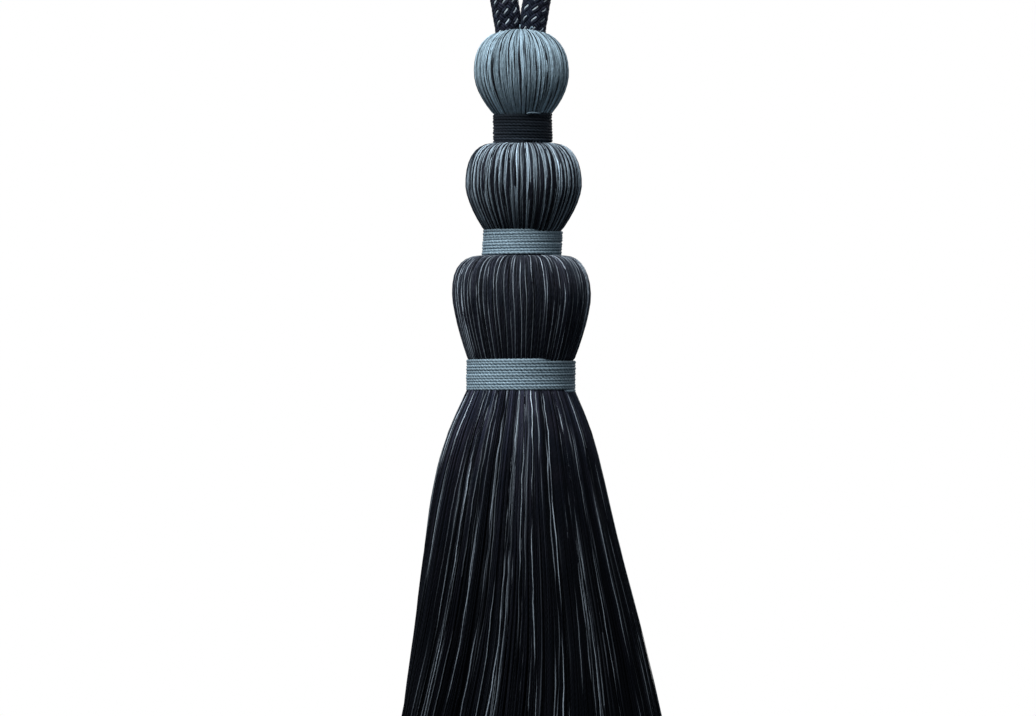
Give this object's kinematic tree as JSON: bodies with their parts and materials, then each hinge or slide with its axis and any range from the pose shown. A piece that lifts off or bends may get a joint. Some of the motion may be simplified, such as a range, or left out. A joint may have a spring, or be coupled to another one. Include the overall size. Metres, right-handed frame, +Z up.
{
  "type": "tassel on a cord loop",
  "caption": "Passementerie tassel: yarn-covered knobs tied off by thread bindings above a long flaring skirt of cut yarn, hanging from a braided cord loop.",
  "frame": {"origin": "top of the inside of the cord loop, where the tassel hangs from its hook or rail", "axes": "+Z up, against the way the tassel hangs; +X to the right across the loop's two legs; +Y away from the viewer"},
  "size_m": [0.0729, 0.0728, 0.2631],
  "materials": {
    "navy_cord": "braided cotton cord, matt, with a light grey-blue fleck in one set of carriers",
    "navy_yarn": "soft matt cotton yarn, near-black navy, with fine grey-blue threads in it",
    "blue_yarn": "plied cotton yarn and thread, light slate blue with a slight sheen",
    "mixed_yarn": "plied cotton yarn, about half slate blue and half navy, laid lengthwise"
  },
  "bodies": {
    "root": {"hanging_cord": "navy_cord", "top_knob": "blue_yarn", "upper_binding": "navy_yarn", "middle_knob": "mixed_yarn", "middle_binding": "blue_yarn", "lower_knob": "navy_yarn", "lower_binding": "blue_yarn", "skirt": "navy_yarn"}
  },
  "joints": []
}
